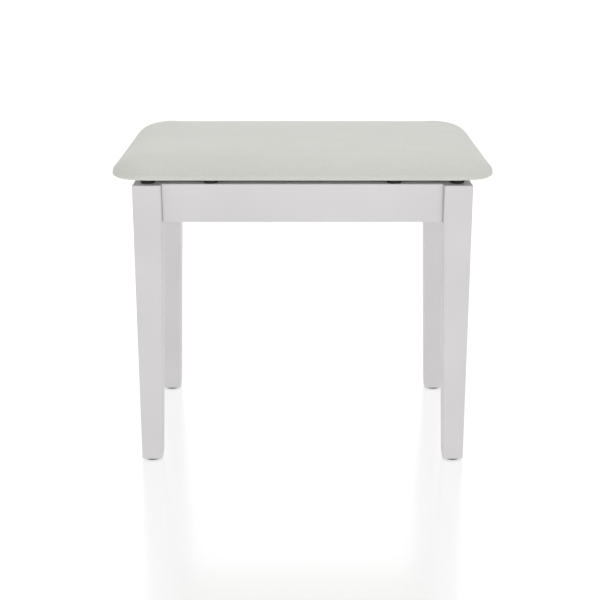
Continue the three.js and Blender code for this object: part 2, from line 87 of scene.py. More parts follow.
def new_object(name, points, faces, sharp=35.0):
    """A smooth mesh with its doubles merged, faces outward, and edges sharper than `sharp` degrees kept."""
    mesh = bpy.data.meshes.new(name)
    mesh.from_pydata(np.asarray(points).reshape(-1, 3), [], [list(face) for face in faces])
    work = bmesh.new()
    work.from_mesh(mesh)
    bmesh.ops.remove_doubles(work, verts=work.verts, dist=1e-6)
    bmesh.ops.dissolve_degenerate(work, edges=work.edges, dist=1e-7)
    bmesh.ops.recalc_face_normals(work, faces=work.faces)
    for face in work.faces:
        face.smooth = True
    for edge in work.edges:
        edge.smooth = not (edge.is_manifold and edge.calc_face_angle() > math.radians(sharp))
    work.to_mesh(mesh)
    work.free()
    piece = bpy.data.objects.new(name, mesh)
    bpy.context.scene.collection.objects.link(piece)
    return piece


def even_normals(piece):
    """Large flat faces keep their own normal, and the small faces round them bend."""
    modifier = piece.modifiers.new("even_normals", "WEIGHTED_NORMAL")
    modifier.keep_sharp = True
    modifier.weight = 100


def dress(piece, material, body, slot, *nodes):
    """Gives a piece its material and its body, and hides the CAD nodes that it stands for. `slot` is not
    used.
    """
    piece.data.materials.append(material)
    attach(piece, body)
    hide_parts(*nodes)
    return piece


def tube_faces(rows, columns):
    """Faces of a closed tube of rows x columns points, with a flat face at each end."""
    faces = quads(rows, columns, wrap=True).tolist()
    first = np.arange(columns)
    return faces + [first[::-1].tolist(), (first + (rows - 1) * columns).tolist()]


def rounded_section(half_x, half_y, radius, steps=5):
    """Outline of a rectangle with round corners: corner centre + radius * (cos a, sin a), with a
    quarter turn at each corner."""
    angle = np.linspace(0, math.pi / 2, steps + 1)
    turn = (np.arange(4)[:, None] * math.pi / 2 + angle[None, :]).ravel()
    sign_x = np.repeat([1, -1, -1, 1], steps + 1)
    sign_y = np.repeat([1, 1, -1, -1], steps + 1)
    x = sign_x * (half_x - radius) + radius * np.cos(turn)
    y = sign_y * (half_y - radius) + radius * np.sin(turn)
    return np.stack([x, y], -1)


def box_of(name):
    """A CAD node's lowest and highest corners, as arrays."""
    low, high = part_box(name)
    return np.array(low), np.array(high)


# ---- materials -------------------------------------------------------------------------------


def linear(hex_colour):
    """sRGB hex to a linear colour: c / 12.92 below 0.04045, else ((c + 0.055) / 1.055) ** 2.4."""
    channels = [int(hex_colour[i : i + 2], 16) / 255 for i in (1, 3, 5)]
    return [c / 12.92 if c <= 0.04045 else ((c + 0.055) / 1.055) ** 2.4 for c in channels] + [1.0]


def add(tree, kind, settings=None, links=None):
    """Adds one node. `settings` are its properties, its unlinked inputs and a colour ramp's
    (place, hex colour or grey level) stops. `links` gives the output that feeds each input."""
    node = tree.nodes.new(kind)
    for key, value in (settings or {}).items():
        if key == "stops":
            elements = node.color_ramp.elements
            while len(elements) < len(value):
                elements.new(0.5)
            for element, (place, tone) in zip(elements, value):
                element.position = place
                element.color = linear(tone) if isinstance(tone, str) else (tone, tone, tone, 1.0)
        elif isinstance(key, int) or key in node.inputs:
            node.inputs[key].default_value = value
        else:
            setattr(node, key, value)
    for key, source in (links or {}).items():
        tree.links.new(source, node.inputs[key])
    return node


def material(name, **values):
    """A new material with the values that are the same all over it, its tree, its shader, and the
    coordinates that its patterns read."""
    made = bpy.data.materials.new(name)
    made.use_nodes = True
    tree = made.node_tree
    shader = tree.nodes["Principled BSDF"]
    for key, value in values.items():
        shader.inputs[key.replace("_", " ")].default_value = value
    return made, tree, shader, add(tree, "ShaderNodeTexCoord").outputs["Object"]


def feed(tree, shader, **sources):
    """Links outputs to the shader's inputs, with _ for a space in an input's name."""
    for key, source in sources.items():
        tree.links.new(source, shader.inputs[key.replace("_", " ")])


def mottle(tree, place, size, detail, stops, roughness=0.5):
    """A tone that wanders between the stops, in blobs about `size` across."""
    blobs = {"Scale": 1 / size, "Detail": detail, "Roughness": roughness}
    noise = add(tree, "ShaderNodeTexNoise", blobs, {"Vector": place}).outputs["Fac"]
    return add(tree, "ShaderNodeValToRGB", {"stops": stops}, {"Fac": noise}).outputs["Color"]


def relief(tree, place, size, detail, strength, depth, under=None):
    """Low hills about `size` across, on top of the relief `under` where there is one."""
    hills = add(tree, "ShaderNodeTexNoise", {"Scale": 1 / size, "Detail": detail}, {"Vector": place})
    links = {"Height": hills.outputs["Fac"]}
    if under is not None:
        links["Normal"] = under
    return add(tree, "ShaderNodeBump", {"Strength": strength, "Distance": depth}, links).outputs["Normal"]


def satin_lacquer():
    """Polyurethane lacquer sprayed on beech: an even pale white with a soft sheen, a very slight
    orange peel from the spray gun, and the pores of the wood just showing through."""
    made, tree, shader, place = material("white_satin_lacquer", IOR=1.5)
    upright = add(tree, "ShaderNodeMapping", {"Scale": (1, 1, 0.08)}, {"Vector": place}).outputs["Vector"]
    pores = relief(tree, upright, size=2.5 * MM, detail=2, strength=0.05, depth=0.4 * MM)
    feed(
        tree,
        shader,
        Base_Color=mottle(tree, place, 120 * MM, 2, stops=[(0.3, "#D3D1D2"), (0.7, "#D8D6D7")]),
        Roughness=mottle(tree, place, 20 * MM, 4, stops=[(0.3, 0.36), (0.75, 0.44)]),
        Normal=relief(tree, place, size=4 * MM, detail=1, strength=0.05, depth=0.6 * MM, under=pores),
    )
    return made


def leatherette():
    """PVC leatherette embossed with a small pebble grain: matt, off-white, a little yellower than the
    lacquer. The real pebbles are about 0.8 mm; they are drawn 2 mm wide so that they show."""
    made, tree, shader, place = material("off_white_leatherette", IOR=1.5, Specular_IOR_Level=0.3)
    cells = {"feature": "SMOOTH_F1", "Scale": 1 / (2 * MM)}
    pebbles = add(tree, "ShaderNodeTexVoronoi", cells, {"Vector": place}).outputs["Distance"]
    # painted shade: the tint is multiplied down by a few per cent in the hollows between the pebbles
    valley_shade_mask = add(tree, "ShaderNodeValToRGB", {"stops": [(0.25, 0.0), (0.8, 1.0)]}, {"Fac": pebbles})
    tint = mottle(tree, place, 150 * MM, 3, stops=[(0.3, "#D1D2CC"), (0.7, "#D5D5D0")])
    # the colour inputs and output of a Mix node have no names of their own, only places
    painted_valley_shade = {"data_type": "RGBA", "blend_type": "MULTIPLY", 7: linear("#F7F7F5")}
    tint_with_painted_shade = add(tree, "ShaderNodeMix", painted_valley_shade, {0: valley_shade_mask.outputs["Color"], 6: tint}).outputs[2]
    soft = relief(tree, place, size=20 * MM, detail=2, strength=0.06, depth=1 * MM)
    embossed = {"invert": True, "Strength": 0.035, "Distance": 0.2 * MM}
    grain = add(tree, "ShaderNodeBump", embossed, {"Height": pebbles, "Normal": soft})
    feed(
        tree,
        shader,
        Base_Color=tint_with_painted_shade,
        Roughness=mottle(tree, place, 30 * MM, 4, stops=[(0.3, 0.46), (0.7, 0.56)]),
        Normal=grain.outputs["Normal"],
    )
    return made


def rubber():
    """Moulded natural rubber: deep black, dull, with a faint grey bloom."""
    made, tree, shader, place = material("black_moulded_rubber", Roughness=0.72, IOR=1.52)
    bloom = mottle(tree, place, 3 * MM, 4, stops=[(0.4, "#0B0B0B"), (0.8, "#171716")])
    skin = relief(tree, place, size=0.6 * MM, detail=2, strength=0.15, depth=0.2 * MM)
    feed(tree, shader, Base_Color=bloom, Normal=skin)
    return made


def glide_plastic():
    """Polyethylene glide, moulded: dark grey, waxy, scuffed by the floor."""
    made, tree, shader, place = material("grey_moulded_polyethylene", Roughness=0.5, IOR=1.51)
    scuff = mottle(tree, place, 2 * MM, 5, stops=[(0.35, "#2E2E2E"), (0.75, "#3E3D3C")])
    worn = relief(tree, place, size=1 * MM, detail=3, strength=0.1, depth=0.2 * MM)
    feed(tree, shader, Base_Color=scuff, Normal=worn)
    return made


def plated(name, dark, light, roughness, streak):
    """Plated steel: a base colour between two greys, with fine drawn streaks along `streak`."""
    made, tree, shader, place = material(name, Metallic=1.0)
    drawn = add(tree, "ShaderNodeMapping", {"Scale": streak}, {"Vector": place}).outputs["Vector"]
    feed(
        tree,
        shader,
        Base_Color=mottle(tree, drawn, 2 * MM, 4, stops=[(0.3, dark), (0.7, light)]),
        Roughness=mottle(tree, place, 6 * MM, 3, stops=[(0.3, roughness), (0.8, roughness + 0.14)]),
        Normal=relief(tree, drawn, size=0.8 * MM, detail=2, strength=0.08, depth=0.1 * MM),
    )
    return made


def wood(name, dark, light, grain, ring, roughness):
    """Bare sanded wood: growth rings about `ring` apart, stretched along the grain, and finer pores."""
    made, tree, shader, place = material(name, Roughness=roughness, IOR=1.5)
    stretched = add(tree, "ShaderNodeMapping", {"Scale": grain}, {"Vector": place}).outputs["Vector"]
    rings = mottle(tree, stretched, ring, 5, stops=[(0.3, dark), (0.5, light), (0.7, dark)], roughness=0.6)
    pores = relief(tree, stretched, size=ring / 5, detail=3, strength=0.2, depth=0.3 * MM)
    feed(tree, shader, Base_Color=rings, Normal=pores)
    return made


def painted_hardboard():
    """Hardboard with one coat of white primer: its fibres give a slightly furry, mottled face."""
    made, tree, shader, place = material("primed_hardboard", Roughness=0.7, IOR=1.5)
    fibres = mottle(tree, place, 4 * MM, 6, stops=[(0.3, "#C9C5BE"), (0.7, "#D6D3CD")], roughness=0.7)
    fur = relief(tree, place, size=1.5 * MM, detail=5, strength=0.25, depth=0.3 * MM)
    feed(tree, shader, Base_Color=fibres, Normal=fur)
    return made


def nonwoven():
    """White spun-bonded polypropylene: a felted mat of fibres with a grid of small bonding dimples."""
    made, tree, shader, place = material("white_nonwoven_cloth", Roughness=0.92, IOR=1.49)
    fibres = mottle(tree, place, 2 * MM, 6, stops=[(0.3, "#C6C6C3"), (0.7, "#D4D4D1")], roughness=0.7)
    grid = {"Scale": 1 / (3 * MM), "Randomness": 0.25}
    dimples = add(tree, "ShaderNodeTexVoronoi", grid, {"Vector": place}).outputs["Distance"]
    dented = add(tree, "ShaderNodeBump", {"Strength": 0.5, "Distance": 0.4 * MM}, {"Height": dimples})
    felt = relief(tree, place, 0.8 * MM, 4, strength=0.3, depth=0.2 * MM, under=dented.outputs["Normal"])
    feed(tree, shader, Base_Color=fibres, Normal=felt)
    return made


LACQUER = satin_lacquer()
LEATHERETTE = leatherette()
RUBBER = rubber()
GLIDE = glide_plastic()
# warm grey, with the soft gleam of a satin plating; streaks run along the hinges
NICKEL = plated("satin_nickel_plate", "#A9A59C", "#C9C5BC", 0.26, streak=(0.2, 1, 1))
# a colder, brighter grey, as on shop-bought bolts
ZINC = plated("bright_zinc_plate", "#9DA0A6", "#BFC3C9", 0.22, streak=(1, 1, 0.3))
# pinkish tan with a short close figure, cut upright in the blocks
BEECH = wood("sanded_beech", "#B98F62", "#D2AC7E", (1, 1, 0.15), ring=6 * MM, roughness=0.62)
# pale yellow with the broad bands of a rotary-cut face, along the seat
PLYWOOD = wood("birch_plywood", "#C29D6B", "#DCBC8B", (0.12, 1, 1), ring=20 * MM, roughness=0.66)
HARDBOARD = painted_hardboard()
NONWOVEN = nonwoven()

MATERIAL_OF_SLOT = {
    "lacquered_wood": LACQUER,
    "leatherette": LEATHERETTE,
    "seat_foam": LEATHERETTE,
    "rubber": RUBBER,
    "glide_plastic": GLIDE,
    "zinc": ZINC,
    "nickel": NICKEL,
    "beech": BEECH,
    "plywood": PLYWOOD,
    "hardboard": HARDBOARD,
    "lining": NONWOVEN,
}


# ---- legs and rails --------------------------------------------------------------------------


def taper(z, foot_share, floor, start):
    """A leg's width at z as a share of its top width: 1 above `start`, then falling in a straight
    line to `foot_share` at the floor."""
    return 1 - (1 - foot_share) * np.clip((start - z) / (start - floor), 0, 1)


def ease_levels(bottom, top, radius, steps=4):
    """(height, inset) pairs up a piece whose ends are rounded: inset = radius * (1 - sin a)."""
    angle = np.linspace(0, math.pi / 2, steps + 1)
    inset = radius * (1 - np.sin(angle))
    rise = radius * (1 - np.cos(angle))
    low = np.stack([bottom + rise, inset], -1)
    high = np.stack([top - rise, inset], -1)[::-1]
    return low, high


TAPER_LEVELS, STRAIGHT_LEVELS = 12, 4
GROOVE_DEPTH = 5.3 * MM  # of the groove that holds the floor panel
GROOVE_PLAY = 0.3 * MM  # above and below the panel


def make_leg(name):
    """Section at height z: a square of width w(z) with round edges, its outer corner fixed.
    w is the top width down to the rails' lower edge, then falls linearly to the foot."""
    low, high = box_of(name)
    width = high[0] - low[0]
    rail_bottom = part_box("rail_front")[0].z
    ends_low, ends_high = ease_levels(low[2], high[2], END_EASE)
    tapered = np.linspace(ends_low[-1][0], rail_bottom, TAPER_LEVELS)[1:]
    straight = np.linspace(rail_bottom, ends_high[0][0], STRAIGHT_LEVELS)[1:-1]
    between = np.concatenate([tapered, straight])
    levels = np.concatenate([ends_low, np.stack([between, 0 * between], -1), ends_high])
    side = np.sign(low + high)
    outer = np.where(side > 0, high, low)
    rows = []
    for z, inset in levels:
        now = width * taper(z, LEG_FOOT / width, low[2], rail_bottom)
        section = rounded_section(now / 2 - inset, now / 2 - inset, LEG_EASE)
        centre = outer[:2] - side[:2] * now / 2
        rows.append(np.column_stack([section + centre, np.full(len(section), z)]))
    points = np.array(rows)
    piece_name = name.replace("leg_", "lacquered_leg_")
    leg = new_object(piece_name, points, tube_faces(*points.shape[:2]), sharp=50)
    even_normals(leg)
    return dress(leg, LACQUER, "frame", "lacquered_wood", name)


def make_rail(name):
    """A rounded rectangle carried along the rail's long side, with the groove that holds the floor
    panel cut into its inner face."""
    low, high = box_of(name)
    run = int(np.argmax((high - low)[:2]))
    across = 1 - run
    half = (high - low) / 2
    centre = (low + high) / 2
    panel_low, panel_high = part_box("compartment_floor")
    inward = -np.sign(centre[across])
    section = rounded_section(half[across], half[2], RAIL_EASE)
    section[:, 0] *= inward
    lower, upper = panel_low.z - GROOVE_PLAY - centre[2], panel_high.z + GROOVE_PLAY - centre[2]
    face, depth = half[across] * inward, (half[across] - GROOVE_DEPTH) * inward
    # the outline's last point is the lower end of the inner face and its first point the upper end
    groove = [(face, lower), (depth, lower), (depth, upper), (face, upper)]
    section = np.concatenate([section, groove])
    points = np.zeros((2, len(section), 3))
    points[:, :, run] = np.array([-half[run], half[run]])[:, None]
    points[:, :, across] = section[None, :, 0]
    points[:, :, 2] = section[None, :, 1]
    points += centre
    piece_name = name.replace("rail_", "lacquered_rail_")
    rail = new_object(piece_name, points, tube_faces(2, len(section)), sharp=50)
    even_normals(rail)
    return dress(rail, LACQUER, "frame", "lacquered_wood", name)


# ---- seat ------------------------------------------------------------------------------------


def seat_side(straight, steps):
    """One side of the seat's outline from mid-corner to mid-corner: how far the corner centre has
    moved along the side, and the angle turned, at steps + 1 even places along it."""
    arc = SEAT_CORNER * math.pi / 4
    s = np.linspace(0, straight + 2 * arc, steps + 1)
    moved = np.clip(s - arc, 0, straight)
    turned_by = np.clip(s / arc, 0, 1) + np.clip((s - arc - straight) / arc, 0, 1)
    return moved, turned_by * math.pi / 4


SIDE_STEPS = (90, 58)  # quads along the long side and along the short side


def seat_outline(half):
    """Corner centres, outward directions and their angles right round the outline, starting in the
    middle of the front left corner. A point at inset d is centre + (corner radius - d) * direction."""
    core = half - SEAT_CORNER
    centres, angles = [], []
    along = np.array([[1, 0], [0, 1], [-1, 0], [0, -1]])
    start = np.array([[-1, -1], [1, -1], [1, 1], [-1, 1]]) * core
    for k in range(4):
        moved, turned_by = seat_side(2 * core[k % 2], SIDE_STEPS[k % 2])
        centres.append((start[k] + moved[:, None] * along[k])[:-1])
        angles.append((k * math.pi / 2 - 0.75 * math.pi + turned_by)[:-1])
    angle = np.concatenate(angles)
    return np.concatenate(centres), np.stack([np.cos(angle), np.sin(angle)], -1), angle


def edge_distance(x, y, half):
    """Distance in from the outline of a rectangle with round corners."""
    out = np.stack([np.abs(x), np.abs(y)], -1) - (half - SEAT_CORNER)
    beyond = np.linalg.norm(np.maximum(out, 0), axis=-1)
    return SEAT_CORNER - beyond - np.minimum(out.max(-1), 0)


def seat_height(inset, x, y, half, top):
    """Quarter ellipse up to the level part, and a slight crown: (1 - (x/a)^2) * (1 - (y/b)^2)."""
    across = np.clip(1 - inset / ROLL_OVER, 0, 1)
    rise = (top - CROWN - SEAT_WIDEST) * np.sqrt(1 - across**2)
    crown = CROWN * (1 - (x / half[0]) ** 2) * (1 - (y / half[1]) ** 2)
    return SEAT_WIDEST + rise + crown


def fill_patch(ring):
    """Points inside a ring of 2 * (m + n) points, by blending its four sides (a Coons patch)."""
    m, n = SIDE_STEPS
    closed = np.concatenate([ring, ring[:1]])
    front, right = closed[: m + 1], closed[m : m + n + 1]
    back, left = closed[m + n : 2 * m + n + 1][::-1], closed[2 * m + n :][::-1]
    u = np.linspace(0, 1, m + 1)[None, :, None]
    v = np.linspace(0, 1, n + 1)[:, None, None]
    edges = (1 - v) * front[None] + v * back[None] + (1 - u) * left[:, None] + u * right[:, None]
    corners = (1 - v) * ((1 - u) * front[0] + u * front[-1]) + v * ((1 - u) * back[0] + u * back[-1])
    return edges - corners


SIDE_ROOM, TOP_ROOM = 0.8 * MM, 1.2 * MM  # left inside the CAD box for the skin to swell into
UNDER_ROWS, LOWER_ROLL_ROWS, UPPER_ROLL_ROWS = 7, 8, 15
PATCH_INSET = 34 * MM  # how far in from the edge the rows end and the patch begins
CORNER_RISE = 0.3  # the underside's rise at the corners, as a share of the rise along the sides


def edge_rings(half, bottom, top):
    """Rows right round the seat, from the edge of the fold under the board to the patch on top. The
    edge is a quarter ellipse below its widest line and another above it."""
    centres, outward, angle = seat_outline(half)
    under = np.linspace(FOLD, ROLL_UNDER, UNDER_ROWS + 1)[:-1]
    low_angle = np.linspace(math.pi / 2, 0, LOWER_ROLL_ROWS + 1)[:-1]
    high_angle = np.linspace(0, math.acos(1 - PATCH_INSET / ROLL_OVER), UPPER_ROLL_ROWS)
    lower_roll = ROLL_UNDER * (1 - np.cos(low_angle))
    upper_roll = ROLL_OVER * (1 - np.cos(high_angle))
    insets = np.concatenate([under, lower_roll, upper_roll])
    # the underside rises towards the rim, less so at the corners
    rise = RIM_RISE * (CORNER_RISE + (1 - CORNER_RISE) * np.abs(np.cos(2 * angle)))
    share = np.clip((LINING_INSET - under) / (LINING_INSET - ROLL_UNDER), 0, 1)
    flat = bottom + share[:, None] * rise
    roll = SEAT_WIDEST - (SEAT_WIDEST - bottom - rise) * np.sin(low_angle)[:, None]
    xy = centres + (SEAT_CORNER - insets)[:, None, None] * outward
    above = xy[len(flat) + len(roll) :]
    over = seat_height(upper_roll[:, None], above[..., 0], above[..., 1], half, top)
    rings = np.concatenate([xy, np.concatenate([flat, roll, over])[..., None]], -1)
    pleats(rings, angle, len(flat) + len(roll))
    return rings


def seat_skin():
    """The leatherette's outer face: from the edge of the fold under the board, round the edge of
    the seat, and over the top. Returns its points and faces."""
    low, high = box_of("seat_cover")
    half = (high[:2] - low[:2]) / 2 - SIDE_ROOM
    top = high[2] - TOP_ROOM
    rings = edge_rings(half, low[2], top)
    m, n = SIDE_STEPS
    inner = fill_patch(rings[-1][:, :2])
    inset = np.maximum(edge_distance(inner[..., 0], inner[..., 1], half), PATCH_INSET)
    z = seat_height(inset, inner[..., 0], inner[..., 1], half, top)
    patch = np.concatenate([inner, z[..., None]], -1)
    points = np.concatenate([rings.reshape(-1, 3), patch.reshape(-1, 3)])
    faces = quads(len(rings), rings.shape[1], wrap=True).tolist()
    faces += (quads(n + 1, m + 1, wrap=False) + rings.shape[0] * rings.shape[1]).tolist()
    return points, faces


PLEATS_PER_CORNER = 7
PLEAT_DEPTH = 0.8 * MM
PLEAT_FADE = 0.7  # below 1, a pleat stays deep for longer before it dies away


def pleats(rings, angle, widest_ring):
    """Gathers the leatherette under each round corner: z rises by depth * sin^2(n * a) between the
    pleats, fading out before the widest line."""
    corner = np.abs(np.sin(2 * angle)) > 1e-6
    wave = np.sin(angle * 2 * PLEATS_PER_CORNER) ** 2 * corner
    fade = np.clip(1 - np.arange(widest_ring) / (widest_ring - 1), 0, 1) ** PLEAT_FADE
    rings[:widest_ring, :, 2] += PLEAT_DEPTH * fade[:, None] * wave[None, :]


PIN_TOP, PIN_FADE = 4 * MM, 12 * MM  # how far up the skin is held still, and over what height it frees


def pin_weights(points, bottom):
    """1 under the board and on the lower roll, falling smoothly to 0 above the widest line:
    1 - t^2 * (3 - 2t)."""
    rise = np.clip((points[:, 2] - bottom - PIN_TOP) / PIN_FADE, 0, 1)
    return 1 - rise * rise * (3 - 2 * rise)


MAX_SWELL = 0.8 * MM
SWELL_FRAMES = 20
CLOTH = {
    "quality": 4,
    "mass": 0.4,
    "tension_stiffness": 30,
    "compression_stiffness": 30,
    "bending_stiffness": 6,
    "use_pressure": True,
    "uniform_pressure_force": 4,
}


def swell(piece, bottom):
    """Cloth pulled over foam: a short simulation under pressure from inside, pinned where the
    leatherette is stapled. A point moves no further than MAX_SWELL."""
    count = len(piece.data.vertices)
    rest = np.empty(count * 3)
    piece.data.vertices.foreach_get("co", rest)
    rest = rest.reshape(-1, 3)
    weights = np.round(pin_weights(rest, bottom), 2)
    group = piece.vertex_groups.new(name="stapled")
    for level in np.unique(weights):
        group.add(np.flatnonzero(weights == level).tolist(), float(level), "REPLACE")
    cloth = piece.modifiers.new("cloth", "CLOTH")
    for key, value in CLOTH.items():
        setattr(cloth.settings, key, value)
    cloth.settings.vertex_group_mass = group.name
    cloth.settings.effector_weights.gravity = 0
    cloth.collision_settings.use_collision = False
    scene = bpy.context.scene
    for step in range(1, SWELL_FRAMES + 1):
        scene.frame_set(step)
    evaluated = piece.evaluated_get(bpy.context.evaluated_depsgraph_get())
    swollen = np.empty(count * 3)
    evaluated.data.vertices.foreach_get("co", swollen)
    move = swollen.reshape(-1, 3) - rest
    far = np.linalg.norm(move, axis=1, keepdims=True)
    move *= MAX_SWELL * np.tanh(far / MAX_SWELL) / np.maximum(far, 1e-9)
    piece.modifiers.remove(cloth)
    piece.vertex_groups.remove(group)
    piece.data.vertices.foreach_set("co", (rest + move).ravel())
    piece.data.update()
    scene.frame_set(1)


def make_seat():
    """The leatherette, drawn tight over the foam, with its thickness inward."""
    points, faces = seat_skin()
    seat = new_object("leatherette_seat", points, faces, sharp=80)
    swell(seat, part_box("seat_cover")[0].z)
    thickness = seat.modifiers.new("leatherette", "SOLIDIFY")
    thickness.thickness = COVER
    thickness.offset = -1
    dress(seat, LEATHERETTE, "lid", "leatherette", "seat_cover", "seat_foam")
    return seat


# ---- small parts -----------------------------------------------------------------------------


def frame_along(direction):
    """Three unit rows: two across the direction, and the direction itself."""
    along = np.array(direction, float) / np.linalg.norm(direction)
    up = np.array([0, 1.0, 0]) if abs(along[2]) > 0.9 else np.array([0, 0, 1.0])
    side = np.cross(up, along)
    side /= np.linalg.norm(side)
    return np.stack([side, np.cross(along, side), along])


def middle(name):
    """The middle of a CAD node's box."""
    low, high = box_of(name)
    return (low + high) / 2


def turned(name, profile, foot, direction, segments=40, radius_at=None):
    """A surface of revolution: foot + r * (cos a * side + sin a * up) + along * direction for each
    (r, along) of the profile. `radius_at(r, along, a)` may make the section other than round."""
    r, along = np.array(profile, float).T
    angle = np.arange(segments) * 2 * math.pi / segments
    radius = np.repeat(r[:, None], segments, axis=1)
    along = np.repeat(along[:, None], segments, axis=1)
    if radius_at:
        radius = radius_at(radius, along, angle[None, :])
    local = np.stack([radius * np.cos(angle), radius * np.sin(angle), along], -1)
    points = np.array(foot) + local @ frame_along(direction)
    return new_object(name, points, tube_faces(*points.shape[:2]), sharp=40)


def quarter(radius, height, centre_r, centre_along, start, end, steps=6):
    """(r, along) points on part of an ellipse between two angles given in quarter turns."""
    a = np.linspace(start, end, steps + 1) * math.pi / 2
    return list(zip(centre_r + radius * np.cos(a), centre_along + height * np.sin(a)))


BUFFER_STEM, BUFFER_SITS = 2.5 * MM, 8.3 * MM  # radius of the stem, and its length up to the foot
BUFFER_EDGE = 1.6 * MM  # radius of the soft edge round the top
BUFFER_HOLLOW = 0.35 * MM  # how far the side draws in
DOME = 0.75 * MM  # how far the top rises to its middle


def make_buffer(name):
    """Turned profile: a stem, a flat foot, a slightly hollow side, and a top with a soft edge, domed
    as rise * (1 - (r / wide)^2)."""
    low, high = box_of(name)
    wide, tall, edge = (high[0] - low[0]) / 2, high[2] - low[2], BUFFER_EDGE
    profile = [(0, 0), (BUFFER_STEM - 0.4 * MM, 0), (BUFFER_STEM, 0.6 * MM), (BUFFER_STEM, BUFFER_SITS)]
    profile += [(wide - 0.5 * MM, BUFFER_SITS), (wide, BUFFER_SITS + 0.5 * MM)]
    profile += [(wide - BUFFER_HOLLOW, BUFFER_SITS + 3 * MM), (wide - BUFFER_HOLLOW, tall - 4 * MM)]
    profile += quarter(edge, edge, wide - 0.2 * MM - edge, tall - 0.9 * MM - edge, 0, 0.8)
    profile += [(wide * share, tall - DOME * share**2) for share in np.linspace(0.78, 0, 7)]
    foot = (*middle(name)[:2], low[2])
    buffer = turned(name.replace("buffer_", "rubber_buffer_"), profile, foot, (0, 0, 1))
    return dress(buffer, RUBBER, "frame", "rubber", name)


GLIDE_RADIUS, GLIDE_THICK = 14.6 * MM, 2.2 * MM
GLIDE_TREAD, NAIL = 1.4 * MM, 1 * MM  # radius of the tread's rounding, and of the nail


def make_glide(name):
    """Turned profile: a nail up into the leg, and a disc with a rounded tread that the floor touches."""
    low, high = box_of(name)
    wide, thick, tall = GLIDE_RADIUS, GLIDE_THICK, high[2] - low[2]
    profile = [(0, 0), (wide * 0.3, 0), (wide * 0.6, 0)]
    profile += quarter(GLIDE_TREAD, GLIDE_TREAD, wide - GLIDE_TREAD, GLIDE_TREAD, -1, 0)
    profile += [(wide, thick - 0.2 * MM), (wide - 0.2 * MM, thick)]
    profile += [(NAIL, thick), (NAIL, tall - 2 * MM), (0, tall)]
    foot = (*middle(name)[:2], low[2])
    glide = turned(name.replace("glide_", "nail_glide_"), profile, foot, (0, 0, 1))
    return dress(glide, GLIDE, "frame", "glide_plastic", name)


SCREW_HEAD, SCREW_SHANK, SCREW_LENGTH = 3.4 * MM, 1.7 * MM, 13.5 * MM
RECESS = {"arm": 1.9 * MM, "half_width": 0.45 * MM, "deep": 1.1 * MM}


def make_screw(name, direction, body, slot):
    """A countersunk screw with a cross recess. The recess is deepest where a point of the head's face
    lies close to either arm: deep * step(min(|u|, |v|) / half width) * step(max(|u|, |v|) / arm)."""
    start = middle(name) - np.array(direction, float) * SCREW_LENGTH / 2
    face = [(SCREW_HEAD * 0.94 * share, 0.0) for share in np.linspace(0, 1, 15)]
    cone = [(SCREW_HEAD, 0.25 * MM), (SCREW_SHANK, 1.9 * MM), (SCREW_SHANK, 9.5 * MM), (0.9 * MM, 12 * MM)]
    r, w = np.array(face + cone + [(0, SCREW_LENGTH)]).T
    segments = 48
    angle = np.arange(segments) * 2 * math.pi / segments
    u, v = r[:, None] * np.cos(angle), r[:, None] * np.sin(angle)
    near = np.minimum(np.abs(u), np.abs(v)) / RECESS["half_width"]
    far = np.maximum(np.abs(u), np.abs(v)) / RECESS["arm"]
    inside = np.clip(1.6 - near, 0, 1) * np.clip((1.15 - far) / 0.3, 0, 1)
    inside[len(face) :] = 0
    depth = w[:, None] + RECESS["deep"] * inside
    points = start + np.stack([u, v, depth], -1) @ frame_along(direction)
    piece_name = name.replace("screw_", "countersunk_screw_")
    screw = new_object(piece_name, points, tube_faces(*points.shape[:2]), sharp=40)
    return dress(screw, MATERIAL_OF_SLOT[slot], body, slot, name)


PITCH, THREAD = 1.25 * MM, 0.7 * MM  # the thread's pitch and its depth
BOLT_CHAMFER = 0.8 * MM  # on the ends, which shortens the bolt's box on the diagonal
BOLT_THREADED = 26 * MM  # length of the machine end
ROWS_PER_TURN = 6


def into_corner(name):
    """The level direction from outside the bench to the corner block that a node sits in."""
    low, high = box_of(name)
    out = np.sign(low + high)
    return np.array([-out[0], -out[1], 0]) / math.sqrt(2)


def make_bolt(name):
    """A hanger bolt on the corner's diagonal. Its machine end is threaded: the radius is
    r - depth * |2 * frac(along / pitch - a / turn) - 1|, easing away at the tip."""
    low, high = box_of(name)
    direction = into_corner(name)
    radius = (high[2] - low[2]) / 2
    length = (high[0] - low[0]) * math.sqrt(2) - 2 * (radius - BOLT_CHAMFER)
    thread_start = length - BOLT_THREADED
    rows = np.arange(thread_start, length - BOLT_CHAMFER, PITCH / ROWS_PER_TURN)
    profile = [(0, 0), (1.6 * MM, 1 * MM), (radius * 0.86, 9 * MM), (radius * 0.98, thread_start - 1 * MM)]
    profile += [(radius, along) for along in rows] + [(radius - 0.9 * MM, length), (0, length)]

    def groove(r, along, angle):
        """The thread's depth taken from the radius, only on the machine end."""
        turn = np.abs(2 * np.mod(along / PITCH - angle / (2 * math.pi), 1) - 1)
        share = np.clip((along - thread_start) / PITCH, 0, 1) * (along < length - 1e-6)
        return r - np.where(r > 0.9 * radius, THREAD * share * turn, 0)

    start = middle(name) - direction * length / 2
    piece_name = name.replace("hanger_bolt", "threaded_hanger_bolt")
    bolt = turned(piece_name, profile, start, direction, segments=24, radius_at=groove)
    return dress(bolt, ZINC, "frame", "zinc", name)


NUT_TALL, NUT_HALF = 8 * MM, 6.5 * MM  # its height, and half its width across the flats
NUT_FLANGE, NUT_BORE = 9 * MM, 3.6 * MM  # radii
NUT_CORNER = NUT_HALF / math.cos(math.pi / 6)
CONE_TALL, CONE_SLOPE = 1.6 * MM, 0.75  # of the cone that trims its corners


